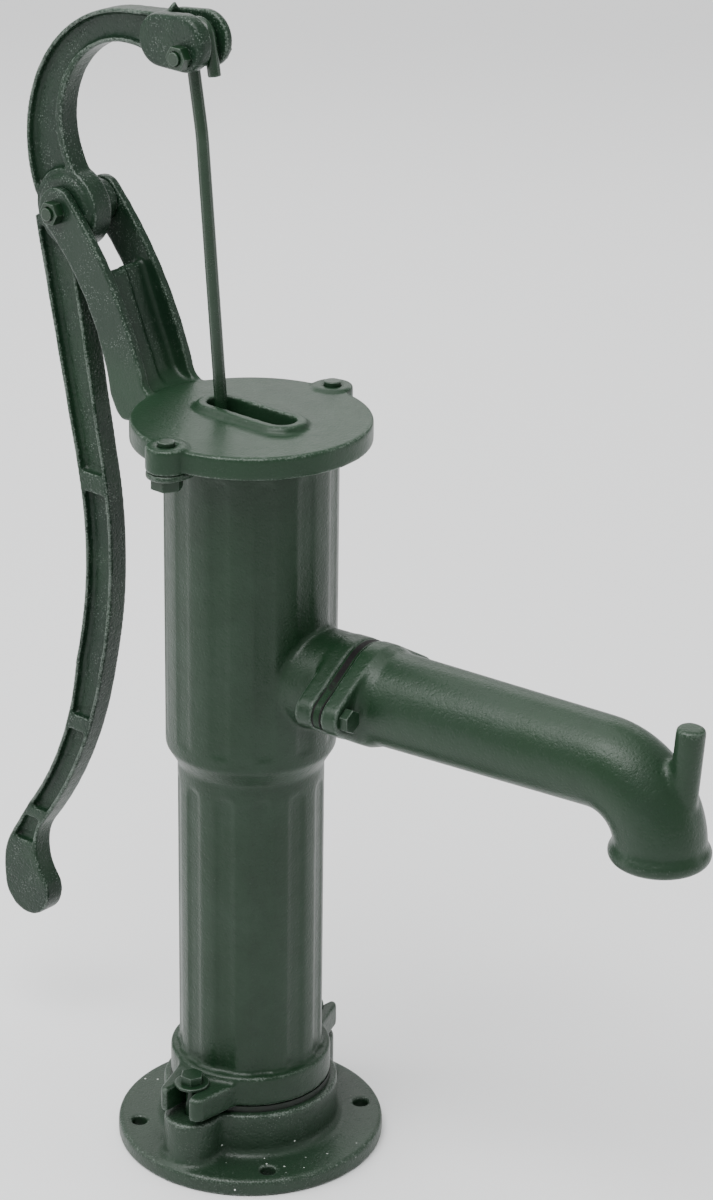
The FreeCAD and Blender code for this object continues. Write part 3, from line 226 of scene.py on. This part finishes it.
# Unpainted metal inside the pump: thinly greased, with fine marks and a little rust.
plainFixings = {
    "colour": (0.20, 0.215, 0.21),
    "dark": (0.07, 0.075, 0.07),
    "rust": (0.12, 0.075, 0.05),
    "rustAmount": 0.4,
    "gloss": (0.28, 0.5),
    "metal": 0.85,
    "streak": 0.0016,
    "streakFrom": (0.3, 0.7),
    "streakDepth": 0.00012,
    "stain": 0.018,
    "stainFrom": (0.55, 0.8),
    "dent": 0.004,
    "dentDepth": 0.0003,
}
castIron = {**plainFixings, "colour": (0.10, 0.105, 0.105), "dark": (0.05, 0.05, 0.05),
            "rustAmount": 0.25, "metal": 0.6, "gloss": (0.45, 0.7)}
dullBrass = {**plainFixings, "colour": (0.55, 0.40, 0.16), "dark": (0.25, 0.17, 0.07),
             "rust": (0.20, 0.22, 0.14), "rustAmount": 0.25}


def workedMetal(name, look):
    s = Shader(name)
    streak = s.noise(look["streak"], 4, 0.6)
    stain = s.noise(look["stain"], 6, 0.65)
    colour = s.blend(streak.over(*look["streakFrom"]), rgba(look["dark"]), rgba(look["colour"]))
    rusty = stain.over(*look["stainFrom"]) * look["rustAmount"]
    colour = s.blend(rusty, colour, rgba(look["rust"]))
    low, high = look["gloss"]
    roughness = stain * (high - low) + low
    scratches = s.bump(streak, look["streakDepth"], 0.6)
    dents = s.bump(s.noise(look["dent"]), look["dentDepth"], 0.5, scratches)
    return s.finish({"Base Color": colour, "Roughness": roughness, "Normal": dents},
                    {"Metallic": look["metal"], "IOR": 1.5})


oiledLeather = {"colour": (0.20, 0.105, 0.05), "dark": (0.07, 0.035, 0.018), "pore": 0.0012,
                "crease": 0.009, "skinDepth": 0.0002, "gloss": 0.4}
# The leather's edge between ring and base: green paint, made darker still as painted shade in the
# gap.
shadedLeatherEdge = {**oiledLeather, "colour": (0.004, 0.012, 0.005), "dark": (0.002, 0.004, 0.002),
               "gloss": 0.5}
gasketRubber = {"colour": (0.006, 0.005, 0.005), "dark": (0.002, 0.002, 0.002), "pore": 0.0007,
                "crease": 0.009, "skinDepth": 0.0002, "paint": castPaint["colour"],
                "paintTop": 0.342, "ragged": 0.02, "middle": 0.0837, "lip": 0.0018,
                "lipRagged": 0.0008, "lipSoft": 0.0005}


# Leather and rubber: pores and creases in a two-tone sheet.
def sheetSkin(s, look):
    crease = s.noise(look["crease"], 6, 0.7)
    colour = s.blend(crease.over(0.3, 0.7), rgba(look["dark"]), rgba(look["colour"]))
    skin = s.bump(s.cells(look["pore"]) + crease * 0.8, look["skinDepth"], 0.7)
    return crease, colour, skin


def softSheet(name, look):
    s = Shader(name)
    crease, colour, skin = sheetSkin(s, look)
    return s.finish({"Base Color": colour, "Roughness": crease * 0.25 + look["gloss"],
                     "Normal": skin}, {"Metallic": 0.0})


# The gasket's edge was painted over with the castings. Above, its lips are painted and its middle
# is bare; below it is the other way round.
def paintedGasket(name, look):
    s = Shader(name)
    crease, rubber, skin = sheetSkin(s, look)
    edge = look["paintTop"] + (crease - 0.5) * look["ragged"]
    low = (edge - s.along("Z")).over(-0.002, 0.002)
    off = (s.along("X") - look["middle"]).calc("ABSOLUTE") + (crease - 0.5) * look["lipRagged"]
    lips = off.over(look["lip"], look["lip"] + look["lipSoft"])
    painted = low + lips - low * lips * 2
    colour = s.blend(painted, rubber, rgba(look["paint"]))
    return s.finish({"Base Color": colour, "Roughness": 0.62 - painted * 0.3, "Normal": skin},
                    {"Metallic": 0.0, "Specular IOR Level": 0.16})


finishes = {
    "barrel": paintedCasting("barrelPaint", castPaint),
    "spout": paintedCasting("spoutPaint", spoutPaint),
    "base": paintedCasting("basePaint", basePaint),
    "lever": paintedCasting("leverPaint", leverPaint),
    "cover": paintedCasting("coverPaint", coverPaint),
    "bolts": paintedCasting("boltPaint", boltPaint),
    "rod": paintedCasting("rodPaint", rodPaint),
    "fixings": workedMetal("plainFixings", plainFixings),
    "iron": workedMetal("castIron", castIron),
    "brass": workedMetal("dullBrass", dullBrass),
    "leather": softSheet("oiledLeather", oiledLeather),
    "shadedLeatherEdge": softSheet("shadedLeatherEdge", shadedLeatherEdge),
    "rubber": paintedGasket("gasketRubber", gasketRubber),
}
print("finishes made:", len(finishes))


def coat(name, finish):
    piece = nodes[name]
    for holder in piece.material_slots:
        holder.material = finishes[finish]
    if not piece.material_slots:
        piece.data.materials.append(finishes[finish])
    return piece


def skinOver(piece, name, face):
    skin = piece.modifiers.new(name, "REMESH")
    skin.mode = "VOXEL"
    skin.voxel_size = face
    skin.use_smooth_shade = True


def relaxSkin(piece, name, steps):
    relax = piece.modifiers.new(name, "SMOOTH")
    relax.factor = 0.5
    relax.iterations = steps


def swell(piece, name, distance):
    push = piece.modifiers.new(name, "DISPLACE")
    push.direction = "NORMAL"
    push.mid_level = 0
    push.strength = distance


# A casting's skin: even small faces, inner corners filled to a radius by swelling the skin,
# skinning it again and shrinking it back, and everything relaxed as a sand mould does.
castings = {
    "pump_base": {"finish": "base", "face": 0.0010, "fill": 0.0022, "relax": 3},
    "pump_cylinder": {"finish": "barrel", "face": 0.0010, "fill": 0.0009, "relax": 2},
    "spout": {"finish": "spout", "face": 0.0010, "fill": 0.0026, "relax": 3},
    "top_cover": {"finish": "cover", "face": 0.0009, "fill": 0.0011, "relax": 2},
    "pump_handle": {"finish": "lever", "face": 0.0008, "fill": 0.0009, "relax": 2},
}
fillingRelax = {"first": 2, "filled": 3}

for pieceName, cast in castings.items():
    casting = coat(pieceName, cast["finish"])
    skinOver(casting, "firstSkin", cast["face"])
    relaxSkin(casting, "firstRelax", fillingRelax["first"])
    swell(casting, "swollen", cast["fill"])
    skinOver(casting, "filledSkin", cast["face"])
    relaxSkin(casting, "filledRelax", fillingRelax["filled"])
    swell(casting, "shrunk", -cast["fill"])
    skinOver(casting, "castSkin", cast["face"])
    relaxSkin(casting, "sandRounding", cast["relax"])

# Bolts, nuts, washers and the rod under thick paint: a fine skin without the filling.
boltSkin = {"finish": "bolts", "face": 0.00045, "relax": 3}
paintedFixings = {
    "base_bolts": boltSkin,
    "base_washers": boltSkin,
    "spout_bolts": boltSkin,
    "cover_bolts": boltSkin,
    "pivot_bolt": boltSkin,
    "pivot_nut": boltSkin,
    "rod_bolt": boltSkin,
    "rod_bolt_nut": boltSkin,
    "piston_rod": {"finish": "rod", "face": 0.00060, "relax": 3},
}

for pieceName, skin in paintedFixings.items():
    fixing = coat(pieceName, skin["finish"])
    skinOver(fixing, "paintSkin", skin["face"])
    relaxSkin(fixing, "paintRounding", skin["relax"])

# Turned and cut pieces: finish, width of the broken edge, and its steps.
cutPieces = {
    "spout_gasket": ("rubber", 0.0006, 2),
    "rod_nuts": ("fixings", 0.0005, 2),
    "rod_washers": ("fixings", 0.0003, 2),
    "plunger_yoke": ("iron", 0.0012, 3),
    "plunger_follower": ("iron", 0.0008, 3),
    "plunger_valve": ("brass", 0.0005, 2),
    "cup_leather": ("leather", 0.0006, 3),
    "foot_valve_leather": ("shadedLeatherEdge", 0.0004, 2),
    "foot_valve_flap": ("leather", 0.0004, 2),
    "foot_valve_weight": ("iron", 0.0010, 3),
    "foot_valve_washer": ("fixings", 0.0004, 2),
    "foot_valve_screw": ("fixings", 0.0004, 2),
    "foot_valve_nut": ("fixings", 0.0004, 2),
}
sharpFrom = math.radians(48)

for pieceName, (finish, width, steps) in cutPieces.items():
    bevel = coat(pieceName, finish).modifiers.new("edgeBreak", "BEVEL")
    bevel.width = width
    bevel.segments = steps
    bevel.limit_method = "ANGLE"
    bevel.angle_limit = sharpFrom
print("solid pieces dressed:", len(castings) + len(paintedFixings) + len(cutPieces))


# Camera at the photograph's place. Angles in degrees, lens and sensor in millimetres.
cameraPlace = {
    "eye": (1.1318, -1.5406, 1.1682),
    "yaw": 34.41,
    "pitch": 22.77,
    "roll": 0.81,
    "lens": 103.59,
    "sensor": 36.0,
    "reach": 30,
}


def viewAxes():
    yaw, pitch, roll = (math.radians(cameraPlace[key]) for key in ("yaw", "pitch", "roll"))
    forward = Vector((-math.sin(yaw) * math.cos(pitch), math.cos(yaw) * math.cos(pitch),
                      -math.sin(pitch)))
    level = Vector((math.cos(yaw), math.sin(yaw), 0))
    upright = level.cross(forward)
    right = level * math.cos(roll) + upright * math.sin(roll)
    up = upright * math.cos(roll) - level * math.sin(roll)
    return right, up, forward


def placeCamera():
    right, up, forward = viewAxes()
    camera = bpy.data.objects.new("photoView", bpy.data.cameras.new("photoView"))
    bpy.context.scene.collection.objects.link(camera)
    camera.data.sensor_fit = "VERTICAL"
    camera.data.sensor_height = cameraPlace["sensor"]
    camera.data.lens = cameraPlace["lens"]
    camera.data.clip_end = cameraPlace["reach"]
    turn = Matrix((right, up, -forward)).transposed().to_4x4()
    camera.matrix_world = Matrix.Translation(cameraPlace["eye"]) @ turn
    bpy.context.scene.camera = camera


floorLook = {"colour": (0.88, 0.885, 0.89), "size": 60.0, "mottle": 0.25, "dim": 0.985}


def makeFloor():
    half = floorLook["size"] / 2
    corners = [(-half, -half, 0), (half, -half, 0), (half, half, 0), (-half, half, 0)]
    mesh = bpy.data.meshes.new("floor")
    mesh.from_pydata(corners, [], [(0, 1, 2, 3)])
    floor = bpy.data.objects.new("floor", mesh)
    bpy.context.scene.collection.objects.link(floor)
    s = Shader("paleFloor")
    colour = s.blend(s.noise(floorLook["mottle"]), rgba(floorLook["colour"]),
                     rgba(floorLook["colour"], floorLook["dim"]))
    mesh.materials.append(s.finish({"Base Color": colour}, {"Roughness": 0.75, "Metallic": 0.0}))


# Soft lights. Each box is placed as the viewer sees it: right, towards the viewer and up, in
# metres from the floor below the pump's middle, then its width, height and power.
lights = {
    "topBox": ((-0.4, 0.7, 1.8), 1.2, 0.9, 22),
    "leftBox": ((-1.7, 0.2, 0.9), 0.4, 1.9, 8),
    "rightBox": ((1.9, 0.1, 0.9), 0.3, 1.9, 5),
    "backBox": ((-0.1, -2.2, 1.5), 3.0, 0.8, 16),
}
pumpMiddle = Vector((0, 0, 0.35))
skyLight = {"power": 2.5, "width": 75, "tilt": (8, -14), "world": 0.55}


def placeLamp(name, light, place, turn):
    lamp = bpy.data.objects.new(name, light)
    bpy.context.scene.collection.objects.link(lamp)
    lamp.location = place
    lamp.rotation_euler = turn
    return lamp


def placeLights():
    right, _, forward = viewAxes()
    aside = Vector((right.x, right.y, 0))
    away = Vector((forward.x, forward.y, 0)).normalized()
    for name, ((side, near, high), width, height, power) in lights.items():
        place = aside * side - away * near + Vector((0, 0, high))
        box = bpy.data.lights.new(name, "AREA")
        box.shape = "RECTANGLE"
        box.size = width
        box.size_y = height
        box.energy = power
        turn = (pumpMiddle - place).to_track_quat("-Z", "Y").to_euler()
        placeLamp(name, box, place, turn)
    sky = bpy.data.lights.new("sky", "SUN")
    sky.energy = skyLight["power"]
    sky.angle = math.radians(skyLight["width"])
    tiltX, tiltY = skyLight["tilt"]
    placeLamp("sky", sky, (0, 0, 0), (math.radians(tiltX), math.radians(tiltY), 0))
    world = bpy.data.worlds.new("studio")
    world.use_nodes = True
    background = world.node_tree.nodes["Background"]
    background.inputs["Color"].default_value = (1.0, 1.0, 1.0, 1)
    background.inputs["Strength"].default_value = skyLight["world"]
    bpy.context.scene.world = world


makeFloor()
placeLights()
placeCamera()
print("stage set")
